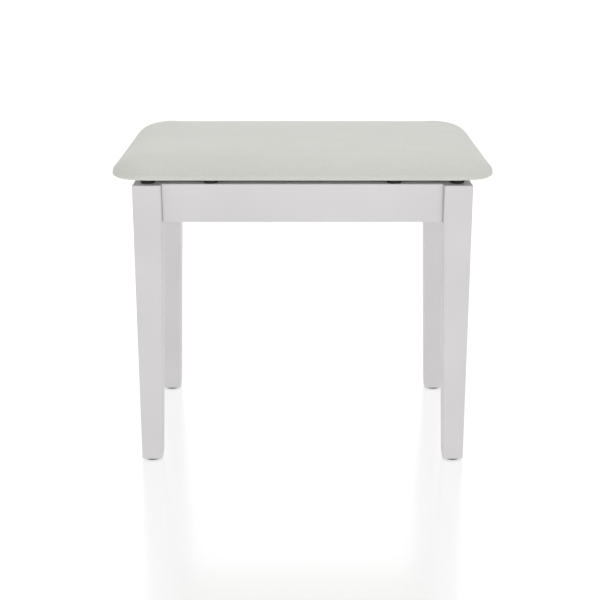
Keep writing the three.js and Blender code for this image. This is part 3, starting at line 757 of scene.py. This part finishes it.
def make_nut(name):
    """A hexagon cut by a cone at its outer end, r = min(half / cos(a mod 60), cone), on a round flange."""
    low, high = box_of(name)
    start = np.sign(low + high) * (np.maximum(-low, high) - NUT_FLANGE / math.sqrt(2))
    start[2] = middle(name)[2]
    rows = [(NUT_BORE, 0), (NUT_FLANGE - 0.5 * MM, 0), (NUT_FLANGE, 0.5 * MM)]
    rows += [(NUT_FLANGE - 0.2 * MM, 1.2 * MM), (NUT_CORNER + 0.1 * MM, 2 * MM)]
    rows += [(NUT_CORNER, 2.2 * MM + k * 0.8 * MM) for k in range(7)]
    rows += [(NUT_CORNER, NUT_TALL - 0.55 * MM), (NUT_HALF, NUT_TALL - 0.1 * MM)]
    rows += [(NUT_HALF - 0.8 * MM, NUT_TALL), (NUT_BORE, NUT_TALL)]

    def hexagon(r, along, angle):
        """The six flats and the cone, above the flange and outside the bore."""
        wedge = np.mod(angle, math.pi / 3) - math.pi / 6
        cone = NUT_CORNER - np.clip(along - (NUT_TALL - CONE_TALL), 0, None) * CONE_SLOPE
        flat = np.minimum(NUT_HALF / np.cos(wedge), cone)
        return np.where((along > 2.1 * MM) & (r > NUT_HALF), np.minimum(r, flat), r)

    piece_name = name.replace("flange_nut", "hexagon_flange_nut")
    nut = turned(piece_name, rows, start, into_corner(name), segments=72, radius_at=hexagon)
    return dress(nut, ZINC, "frame", "zinc", name)


def plate(name, outline, near, far, ease, axes):
    """A flat plate with eased edges: rows of its outline, inset by ease * (1 - sin a) at each face.
    `outline(inset)` gives (u, v) points; `axes` are the axes that u, v and the thickness lie on."""
    low, high = ease_levels(near, far, ease, 3)
    rows = []
    for w, inset in np.concatenate([low, high]):
        uv = outline(inset)
        row = np.zeros((len(uv), 3))
        row[:, axes[0]], row[:, axes[1]], row[:, axes[2]] = uv[:, 0], uv[:, 1], w
        rows.append(row)
    points = np.array(rows)
    made = new_object(name, points, tube_faces(*points.shape[:2]), sharp=50)
    even_normals(made)
    return made


def capsule(start, end, start_radius, end_radius, steps=28):
    """Outline of a flat arm: two arcs and the two lines that touch both."""
    start, end = np.array(start), np.array(end)
    run = end - start
    heading = math.atan2(run[1], run[0])
    lean = math.acos((start_radius - end_radius) / np.linalg.norm(run))

    def outline(inset):
        a = np.linspace(heading - lean, heading + lean, steps + 1)
        b = np.linspace(heading + lean, heading + 2 * math.pi - lean, steps + 1)
        far = end + (end_radius - inset) * np.stack([np.cos(a), np.sin(a)], -1)
        near = start + (start_radius - inset) * np.stack([np.cos(b), np.sin(b)], -1)
        return np.concatenate([far, near])

    return outline


def rounded_plate(low, high, radius):
    """Outline of a rectangular plate with round corners."""
    middle_of, half = (np.array(low) + np.array(high)) / 2, (np.array(high) - np.array(low)) / 2
    return lambda inset: rounded_section(*(half - inset), max(radius - inset, 1e-5)) + middle_of


def carried(name, profile, stations, axes):
    """A closed (v, w) profile carried straight along u through the stations."""
    profile = np.array(profile)
    points = np.zeros((len(stations), len(profile), 3))
    points[:, :, axes[0]] = np.array(stations)[:, None]
    points[:, :, axes[1]] = profile[None, :, 0]
    points[:, :, axes[2]] = profile[None, :, 1]
    return new_object(name, points, tube_faces(*points.shape[:2]), sharp=40)


def join(name, pieces):
    """One mesh from several, at the origin."""
    work = bmesh.new()
    for piece in pieces:
        work.from_mesh(piece.data)
        bpy.data.objects.remove(piece)
    mesh = bpy.data.meshes.new(name)
    work.to_mesh(mesh)
    work.free()
    whole = bpy.data.objects.new(name, mesh)
    bpy.context.scene.collection.objects.link(whole)
    return whole


def soften(piece, width):
    """A fine bevel on the sharp edges, finished with even normals."""
    modifier = piece.modifiers.new("eased_edges", "BEVEL")
    modifier.width = width
    modifier.segments = 2
    modifier.limit_method = "ANGLE"
    modifier.angle_limit = math.radians(40)
    even_normals(piece)


HINGE_Y, HINGE_Z = 154 * MM, 443.7 * MM  # the pins' common axis
KNUCKLE, BORE, LEAF = 5.4 * MM, 2.6 * MM, 1.8 * MM  # a knuckle's two radii, and a leaf's thickness
LEAF_HALF, MIDDLE_HALF = 32 * MM, 12 * MM  # half the width of a leaf, and of the lid's one knuckle
LEAF_FRONT, LEAF_BACK = 127 * MM, 148 * MM
TAIL_FRONT = 146.5 * MM  # where the rolled strip starts, inside the leaf
KNUCKLE_GAP = 0.3 * MM
HIDDEN = 0.02 * MM  # how far a strip lies inside the plate that it runs into


def knuckle_profile(flip):
    """A strip rolled round the pin: outer arc, back along the inner arc, and a tail into the leaf."""
    outer = np.linspace(-90, 214, 44) * math.pi / 180
    inner = outer[::-1]
    y = [TAIL_FRONT, *(HINGE_Y + KNUCKLE * np.cos(outer)), *(HINGE_Y + BORE * np.cos(inner))]
    z = [HIDDEN - KNUCKLE, *(KNUCKLE * np.sin(outer)), *(BORE * np.sin(inner))]
    y += [HINGE_Y - 2 * MM, TAIL_FRONT]
    z += [LEAF - KNUCKLE - HIDDEN, LEAF - KNUCKLE - HIDDEN]
    return np.stack([y, HINGE_Z + flip * np.array(z)], -1)


def make_leaf(kind, side):
    """A hinge leaf: a plate, and the strip at its back edge rolled into knuckles."""
    name = "hinge_leaf_%s_%s" % (kind, side)
    centre = middle(name)[0]
    flip = 1 if kind == "rail" else -1
    faces = sorted(HINGE_Z + flip * np.array([-KNUCKLE, LEAF - KNUCKLE]))
    outline = rounded_plate((centre - LEAF_HALF, LEAF_FRONT), (centre + LEAF_HALF, LEAF_BACK), 1.5 * MM)
    pieces = [plate("leaf", outline, *faces, 0.25 * MM, (0, 1, 2))]
    if kind == "rail":
        spans = [(-LEAF_HALF, -MIDDLE_HALF - KNUCKLE_GAP), (MIDDLE_HALF + KNUCKLE_GAP, LEAF_HALF)]
    else:
        spans = [(-MIDDLE_HALF, MIDDLE_HALF)]
    for span in spans:
        pieces.append(carried("knuckle", knuckle_profile(flip), centre + np.array(span), (0, 1, 2)))
    leaf = join("rolled_" + name, pieces)
    soften(leaf, METAL_EASE)
    return dress(leaf, NICKEL, "frame" if kind == "rail" else "lid", "nickel", name)


def make_pin(name):
    """The hinge's pin, with a peened dome at each end."""
    low, high = box_of(name)
    pin, head, cap = 2.5 * MM, 3.5 * MM, 1.2 * MM
    length = high[0] - low[0]
    turn = np.linspace(0, math.pi / 2, 7)
    profile = [(head * math.sin(a), cap - cap * math.cos(a)) for a in turn]
    profile += [(pin, cap + 0.1 * MM), (pin, length - cap - 0.1 * MM)]
    profile += [(head * math.cos(a), length - cap + cap * math.sin(a)) for a in turn]
    made = turned("peened_" + name, profile, (low[0], *middle(name)[1:]), (1, 0, 0))
    return dress(made, NICKEL, "frame", "nickel", name)


RIVET_SHANK = 2.4 * MM
RIVET_HEAD = {"thick": 1.5 * MM, "wide": 4.5 * MM}


def make_rivet(name, body, near_wide=RIVET_HEAD["wide"]):
    """A rivet along X: a domed head at each end of a plain shank."""
    low, high = box_of(name)
    length, thick, far_wide = high[0] - low[0], RIVET_HEAD["thick"], RIVET_HEAD["wide"]
    dome = 0.75 * thick
    turn = np.linspace(0, math.pi / 2, 8)
    profile = [(near_wide * math.sin(a) ** 0.8, dome * (1 - math.cos(a))) for a in turn]
    profile += [(near_wide, thick), (RIVET_SHANK, thick), (RIVET_SHANK, length - thick)]
    profile += [(far_wide, length - thick)]
    profile += [(far_wide * math.cos(a) ** 0.8, length - dome * (1 - math.sin(a))) for a in turn]
    made = turned("domed_" + name, profile, (low[0], *middle(name)[1:]), (1, 0, 0))
    return dress(made, NICKEL, body, "nickel", name)


RAIL_PIVOT, LID_PIVOT = (52 * MM, 402 * MM), (50 * MM, 440 * MM)  # y and z
ARM_END, ARM_EYE = 6 * MM, 8.5 * MM  # radius of an arm's plain end, and of the upper arm's eye
STRIP_EASE = 0.35 * MM


def make_stay():
    """The stay's two flat arms, its rail plate and its bent lid bracket."""
    elbow = tuple(middle("stay_rivet_elbow")[1:])
    for name, body, pivot, far in (
        ("stay_arm_lower", "stay_lower", RAIL_PIVOT, ARM_END),
        ("stay_arm_upper", "stay_upper", LID_PIVOT, ARM_EYE),
    ):
        low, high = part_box(name)
        arm = plate("flat_" + name, capsule(pivot, elbow, ARM_END, far), low.x, high.x, STRIP_EASE, (1, 2, 0))
        dress(arm, NICKEL, body, "nickel", name)
    low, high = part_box("stay_bracket_rail")
    outline = rounded_plate((low.y, low.z), (high.y, high.z), 3 * MM)
    bracket = plate("flat_stay_bracket_rail", outline, low.x, high.x, STRIP_EASE, (1, 2, 0))
    dress(bracket, NICKEL, "frame", "nickel", "stay_bracket_rail")
    make_lid_bracket()


BRACKET_THICK, BRACKET_BEND, BRACKET_EAR = 1.7 * MM, 3.2 * MM, 7 * MM  # the ear's radius round the pivot


def make_lid_bracket():
    """A flange under the lid, and a strip that bends down from it to a round end. Along the strip the
    half width is constant, then sqrt(r^2 - s^2) round the pivot."""
    low, high = box_of("stay_bracket_lid")
    bend, ear = BRACKET_BEND, BRACKET_EAR
    flange_edge = high[0] - bend + 0.4 * MM
    outline = rounded_plate((low[0], low[1]), (flange_edge, high[1]), 2.5 * MM)
    flange = plate("flange", outline, high[2] - 1.8 * MM, high[2], 0.3 * MM, (0, 1, 2))
    turn = np.linspace(math.pi / 2, 0, 7)
    arc = high[[0, 2]] - bend + (bend - BRACKET_THICK / 2) * np.stack([np.cos(turn), np.sin(turn)], -1)
    side_x = arc[-1, 0]
    flat = [(flange_edge - 6 * MM, arc[0, 1])]
    pivot_y, pivot_z = LID_PIVOT
    end = np.linspace(-math.pi / 2, 0, 13)[1:-1]
    down = np.stack([np.full(len(end), side_x), pivot_z - ear * (1 + np.sin(end))], -1)
    line = np.concatenate([flat, arc, [(side_x, pivot_z)], down, [(side_x, pivot_z - ear)]])
    fall = np.clip((pivot_z - line[:, 1]) / ear, 0, 1)
    half = np.maximum(ear * np.sqrt(1 - fall**2), 0.4 * MM)
    # the strip faces up along its flat, turns through the arc, and faces outward below it
    normal_x = np.interp(np.arange(len(line)), np.arange(1, 1 + len(turn)), np.cos(turn))
    normal = np.stack([normal_x, np.sqrt(np.maximum(1 - normal_x**2, 0))], -1)
    outer = line + normal * (BRACKET_THICK / 2 - HIDDEN)
    inner = line - normal * (BRACKET_THICK / 2 - HIDDEN)
    corners = [(outer, -half), (outer, half), (inner, half), (inner, -half)]
    points = np.stack([np.stack([c[:, 0], pivot_y + h, c[:, 1]], -1) for c, h in corners], 1)
    strip = new_object("strip", points, tube_faces(*points.shape[:2]), sharp=40)
    bracket = join("bent_stay_bracket_lid", [flange, strip])
    soften(bracket, METAL_EASE)
    return dress(bracket, NICKEL, "lid", "nickel", "stay_bracket_lid")


# ---- lid lining ------------------------------------------------------------------------------

STAPLES = (13, 8)  # along the long side and along the short side, mid-corner to mid-corner
LINING_ROWS = np.array([0, 0.4, 1, 2, 4, 6, 8, 10, 10.8, 11.6, 14, 18, 24, 32]) * MM  # insets
LINING_THICK = 0.3 * MM
DRAWN, DRAWN_REACH = 0.5 * MM, 8 * MM  # how far the edge draws in between staples, and how deep that goes
PUCKER, PUCKER_REACH = 0.3 * MM, 14 * MM
HEM, HEM_STEP, HEM_DROP = 11.2 * MM, 0.8 * MM, 0.12 * MM
LINING_ROOM = 0.1 * MM  # between the cloth and the board


def make_lining():
    """A sheet stretched flat: between staples its edge draws in by a * sin^2(n * s), small puckers
    run in from them, dying away as exp(-inset / reach), and a hem makes the border a little lower."""
    low, high = box_of("lid_lining")
    half = (high[:2] - low[:2]) / 2
    corner = SEAT_CORNER - LINING_INSET
    centres, outward, _ = seat_outline(half + LINING_INSET)
    wave = staple_wave(np.arange(len(centres)))
    insets = LINING_ROWS[:, None]
    drawn = insets + DRAWN * wave * np.maximum(0, 1 - insets / DRAWN_REACH)
    xy = centres + (corner - drawn)[..., None] * outward
    pucker = PUCKER * wave * np.exp(-insets / PUCKER_REACH)
    hem = HEM_DROP * np.clip((HEM - insets) / HEM_STEP, 0, 1)
    rings = np.concatenate([xy, (high[2] - LINING_ROOM - pucker - hem)[..., None]], -1)
    m, n = SIDE_STEPS
    inner = fill_patch(rings[-1])
    points = np.concatenate([rings.reshape(-1, 3), inner.reshape(-1, 3)])
    faces = quads(len(rings), rings.shape[1], wrap=True).tolist()
    faces += (quads(n + 1, m + 1, wrap=False) + rings.shape[0] * rings.shape[1]).tolist()
    lining = new_object("nonwoven_lid_lining", points, faces, sharp=80)
    if lining.data.polygons[0].normal.z > 0:
        lining.data.flip_normals()
    thickness = lining.modifiers.new("cloth", "SOLIDIFY")
    thickness.thickness = LINING_THICK
    thickness.offset = 0
    dress(lining, NONWOVEN, "lid", "lining", "lid_lining")
    make_staples(centres, outward, corner, low[2])


def staple_wave(place):
    """0 at each staple and 1 midway between two, round the whole outline."""
    m, n = SIDE_STEPS
    start = np.cumsum([0, m, n, m, n])
    side = np.searchsorted(start, place, side="right") - 1
    steps = np.array(SIDE_STEPS)[side % 2]
    count = np.array(STAPLES)[side % 2]
    return np.sin(math.pi * count * (place - start[side]) / steps) ** 2


STAPLE_INSET = 6 * MM
STAPLE_HALF, STAPLE_LEG, STAPLE_BEND = 5 * MM, 2 * MM, 0.8 * MM
WIRE_WIDE, WIRE_THICK = 0.8 * MM, 0.21 * MM  # half the flat wire's width and half its thickness


def make_staples(centres, outward, corner, lining_low):
    """Flat wire staples, each a short bar whose ends turn up into the board: a rectangle carried
    along a straight line with a quarter circle at each end."""
    m, n = SIDE_STEPS
    places = []
    start = 0
    for steps, count in ((m, STAPLES[0]), (n, STAPLES[1])) * 2:
        places += [start + steps * k / count for k in range(count)]
        start += steps
    index = np.round(places).astype(int) % len(centres)
    out = outward[index]
    spot = centres[index] + (corner - STAPLE_INSET) * out
    tangent = np.stack([-out[:, 1], out[:, 0]], -1)
    turn = np.linspace(0, math.pi / 2, 4)
    bent, risen = STAPLE_BEND * (1 - np.cos(turn)), STAPLE_BEND * (1 - np.sin(turn))
    path_s = np.concatenate([[-STAPLE_HALF], bent - STAPLE_HALF, STAPLE_HALF - bent[::-1], [STAPLE_HALF]])
    path_z = np.concatenate([[STAPLE_LEG], risen, risen[::-1], [STAPLE_LEG]])
    run, climb = np.gradient(path_s), np.gradient(path_z)
    pace = np.maximum(np.hypot(run, climb), 1e-9)
    across, through = np.array([(1, 1), (1, -1), (-1, -1), (-1, 1)]).T
    local_s = path_s[:, None] - (climb / pace)[:, None] * through * WIRE_THICK
    local_z = path_z[:, None] + (run / pace)[:, None] * through * WIRE_THICK
    local_w = np.repeat(across[None, :] * WIRE_WIDE, len(path_s), 0)
    xy = spot[:, None, None] + tangent[:, None, None] * local_s[None, ..., None]
    xy = xy + out[:, None, None] * local_w[None, ..., None]
    z = np.broadcast_to(lining_low - LINING_ROOM + local_z[None], xy.shape[:3])
    points = np.concatenate([xy, z[..., None]], -1)
    each = len(path_s) * len(across)
    one = np.array(tube_faces(len(path_s), len(across)))
    faces = (one[None] + np.arange(len(spot))[:, None, None] * each).reshape(-1, 4)
    staples = new_object("lining_staples", points, faces.tolist(), sharp=40)
    staples.data.materials.append(ZINC)
    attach(staples, "lid")
    return staples


# ---- stage -----------------------------------------------------------------------------------

FLOOR_HALF = 30.0
FLOOR = {
    "Base_Color": (0.12, 0.12, 0.12, 1.0),
    "Roughness": 0.18,
    "IOR": 3.0,
    "Emission_Color": (1.0, 1.0, 1.0, 1.0),
    "Emission_Strength": 0.68,
}


def make_floor():
    """A pale studio floor with a faint sheen, lit partly from within so that it stays even."""
    corners = [(-1, -1, 0), (1, -1, 0), (1, 1, 0), (-1, 1, 0)]
    floor = new_object("studio_floor", np.array(corners) * FLOOR_HALF, [(0, 1, 2, 3)])
    floor.data.materials.append(material("studio_floor", **FLOOR)[0])


AIR = {"From Min": -0.4, "From Max": 0.4, "To Min": 0.30, "To Max": 1.0}  # from the front to the back
SOFTBOXES = {
    "front_softbox": {"place": (0.4, -6.0, 1.35), "target": (0, 0, 0.4), "size": (5.0, 1.6), "power": 133},
    "top_softbox": {"place": (0.3, 0.1, 3.0), "target": (0, 0, 0.45), "size": (2.2, 2.2), "power": 21},
}


def make_light(name, place, target, size, power):
    """A rectangular soft box that faces its target; size is its width and height."""
    data = bpy.data.lights.new(name, "AREA")
    data.shape = "RECTANGLE"
    data.size, data.size_y = size
    data.energy = power
    lamp = bpy.data.objects.new(name, data)
    bpy.context.scene.collection.objects.link(lamp)
    lamp.location = place
    aim = np.array(target, float) - np.array(place, float)
    flat = math.hypot(aim[0], aim[1])
    lamp.rotation_euler = (math.atan2(flat, -aim[2]), 0, math.atan2(aim[1], aim[0]) - math.pi / 2)


def make_studio():
    """Air that is brighter behind the bench than in front, and two soft boxes: a low wide one in
    front, which lights the rail under the seat's edge, and one overhead."""
    world = bpy.data.worlds.new("studio_air")
    bpy.context.scene.world = world
    world.use_nodes = True
    tree = world.node_tree
    air = tree.nodes["Background"]
    air.inputs["Color"].default_value = (1.0, 1.0, 1.0, 1.0)
    place = add(tree, "ShaderNodeTexCoord").outputs["Generated"]
    split = add(tree, "ShaderNodeSeparateXYZ", links={"Vector": place})
    level = add(tree, "ShaderNodeMapRange", AIR, {"Value": split.outputs["Y"]})
    tree.links.new(level.outputs["Result"], air.inputs["Strength"])
    for name, values in SOFTBOXES.items():
        make_light(name, **values)
    bpy.context.scene.view_settings.view_transform = "Standard"


CAMERA_LENS = 71.0
CAMERA_PLACE = (0.0, -1.840, 0.823)
CAMERA_DOWN = 0.270  # radians below the horizontal
CAMERA_SHIFT = (-0.0043, -0.1018)


def make_camera():
    """Looks at the front from above the seat, a little downwards."""
    data = bpy.data.cameras.new("camera")
    data.lens = CAMERA_LENS
    data.sensor_width = 36
    data.shift_x, data.shift_y = CAMERA_SHIFT
    camera = bpy.data.objects.new("camera", data)
    camera.location = CAMERA_PLACE
    camera.rotation_euler = (math.pi / 2 - CAMERA_DOWN, 0, 0)
    bpy.context.scene.collection.objects.link(camera)
    bpy.context.scene.camera = camera


# ---- the bench -------------------------------------------------------------------------------

make_camera()
make_studio()
make_floor()

for leg_name in ("leg_front_left", "leg_front_right", "leg_back_left", "leg_back_right"):
    make_leg(leg_name)
for rail_name in ("rail_front", "rail_back", "rail_left", "rail_right"):
    make_rail(rail_name)
make_seat()

make_lining()
for place in ("leg_left", "leg_right", "rail_left", "rail_right"):
    make_buffer("buffer_" + place)
for corner_name in ("front_left", "front_right", "back_left", "back_right"):
    make_glide("glide_" + corner_name)
    make_bolt("hanger_bolt_" + corner_name)
    make_nut("flange_nut_" + corner_name)
for side_name in ("left", "right"):
    make_leaf("rail", side_name)
    make_leaf("lid", side_name)
    make_pin("hinge_pin_" + side_name)
    for end_name in ("outer", "inner"):
        make_screw("hinge_screw_rail_%s_%s" % (side_name, end_name), (0, 0, -1), "frame", "nickel")
        make_screw("hinge_screw_lid_%s_%s" % (side_name, end_name), (0, 0, 1), "lid", "nickel")
for end_name in ("front", "back"):
    make_screw("stay_screw_rail_" + end_name, (1, 0, 0), "frame", "nickel")
    make_screw("stay_screw_lid_" + end_name, (0, 0, 1), "lid", "nickel")
make_rivet("stay_rivet_rail", "frame")
make_rivet("stay_rivet_elbow", "stay_lower", near_wide=8.5 * MM)
make_rivet("stay_rivet_lid", "lid")
make_stay()

for part in frame["record"]["subparts"]:
    node = frame["nodes"][part["node"]]
    node.data.materials.clear()
    node.data.materials.append(MATERIAL_OF_SLOT[part["material_slot"]])
    if part["node"].startswith(("corner_block", "compartment_floor", "seat_board")):
        soften(node, BOARD_EASE)
